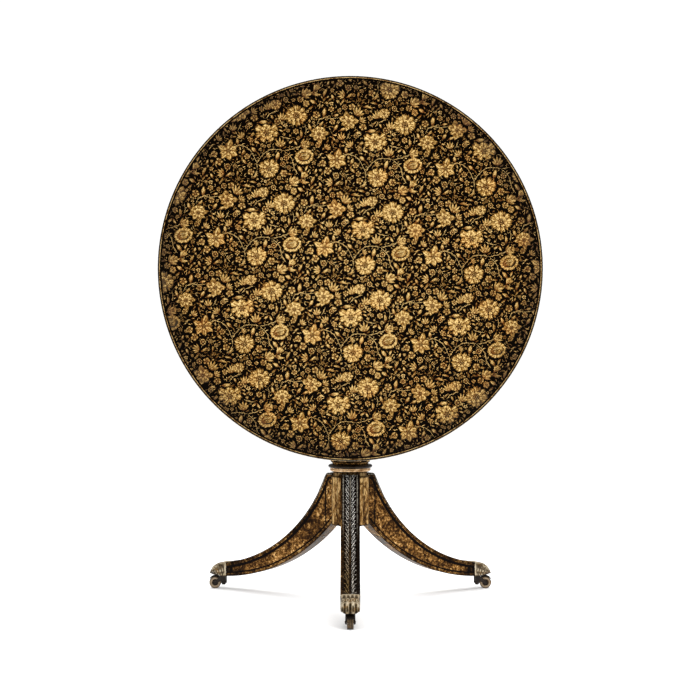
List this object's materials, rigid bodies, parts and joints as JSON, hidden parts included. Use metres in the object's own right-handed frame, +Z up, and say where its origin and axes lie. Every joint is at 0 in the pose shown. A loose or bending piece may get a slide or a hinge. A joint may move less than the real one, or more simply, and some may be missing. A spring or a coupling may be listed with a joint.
{
  "type": "tilt top table",
  "caption": "Round tilt top pedestal table: a lacquered top that tips upright on a block and column, on a tripod of sabre legs with paw caps and casters.",
  "frame": {"origin": "the point on the floor below the pedestal's axis", "axes": "+Z up along the pedestal's axis, -Y to the front, where the upright top faces and the front leg points, +X to the right seen from the front"},
  "size_m": [0.914, 0.631, 1.26],
  "materials": {
    "gilt_lacquer_top": "black lacquer with dense gold flowers, satin",
    "black_wood": "black-stained wood, satin",
    "bare_wood": "oiled hardwood, matt",
    "steel_screws": "blued steel, worn",
    "brass": "polished brass, light tarnish",
    "antique_brass": "antique brass, dark in the hollows",
    "gilt_carving": "carved wood, black with worn gilding",
    "mottled_gilt": "wood, mottled gold over black lacquer",
    "black_lacquer": "black lacquer with mottled gold panels, glossy",
    "bronze": "dark bronzed iron, semi-matt",
    "iron": "blacked iron, matt"
  },
  "bodies": {
    "pedestal": {"top_block": "black_wood", "pivot_bolt_left": "steel_screws", "pivot_bolt_right": "steel_screws", "strike_plate": "brass", "strike_screws": "steel_screws", "column": "gilt_carving", "tenon_wedge": "bare_wood", "collar_ring": "gilt_carving", "drum": "mottled_gilt", "spider_plate": "iron", "spider_screws": "steel_screws", "leg_front": "black_lacquer", "leg_left": "black_lacquer", "leg_right": "black_lacquer", "paw_cap_front": "antique_brass", "paw_cap_left": "antique_brass", "paw_cap_right": "antique_brass", "caster_stem_front": "bronze", "caster_stem_left": "bronze", "caster_stem_right": "bronze"},
    "top": {"tabletop_panel": "gilt_lacquer_top", "rim_moulding": "gilt_lacquer_top", "bearer_left": "black_wood", "bearer_right": "black_wood", "bearer_screws": "steel_screws", "pivot_bush_left": "brass", "pivot_bush_right": "brass", "catch_plate": "brass", "catch_screws": "steel_screws"},
    "catch": {"catch_bolt": "brass", "catch_knob": "brass"},
    "fork_front": {"caster_fork_front": "bronze", "caster_axle_front": "bronze"},
    "wheel_front": {"caster_wheel_front": "antique_brass"},
    "fork_left": {"caster_fork_left": "bronze", "caster_axle_left": "bronze"},
    "wheel_left": {"caster_wheel_left": "antique_brass"},
    "fork_right": {"caster_fork_right": "bronze", "caster_axle_right": "bronze"},
    "wheel_right": {"caster_wheel_right": "antique_brass"}
  },
  "joints": [
    {"name": "top_tilt", "type": "hinge", "parent": "pedestal", "child": "top", "pos_m": [0, -0.081, 0.722], "axis": [-1, 0, 0], "range_deg": [0, 90]},
    {"name": "catch_slide", "type": "slide", "parent": "top", "child": "catch", "axis": [0, 0, -1], "range_m": [0, 0.015]},
    {"name": "swivel_front", "type": "hinge", "parent": "pedestal", "child": "fork_front", "pos_m": [0, -0.375, 0.03], "axis": [0, 0, 1], "continuous": true},
    {"name": "roll_front", "type": "hinge", "parent": "fork_front", "child": "wheel_front", "pos_m": [0, -0.3963, 0.015], "axis": [-1, 0, 0], "continuous": true},
    {"name": "swivel_left", "type": "hinge", "parent": "pedestal", "child": "fork_left", "pos_m": [-0.32476, 0.1875, 0.03], "axis": [0, 0, 1], "continuous": true},
    {"name": "roll_left", "type": "hinge", "parent": "fork_left", "child": "wheel_left", "pos_m": [-0.34606, 0.1875, 0.015], "axis": [0, 1, 0], "continuous": true},
    {"name": "swivel_right", "type": "hinge", "parent": "pedestal", "child": "fork_right", "pos_m": [0.32476, 0.1875, 0.03], "axis": [0, 0, 1], "continuous": true},
    {"name": "roll_right", "type": "hinge", "parent": "fork_right", "child": "wheel_right", "pos_m": [0.34606, 0.1875, 0.015], "axis": [0, -1, 0], "continuous": true}
  ]
}
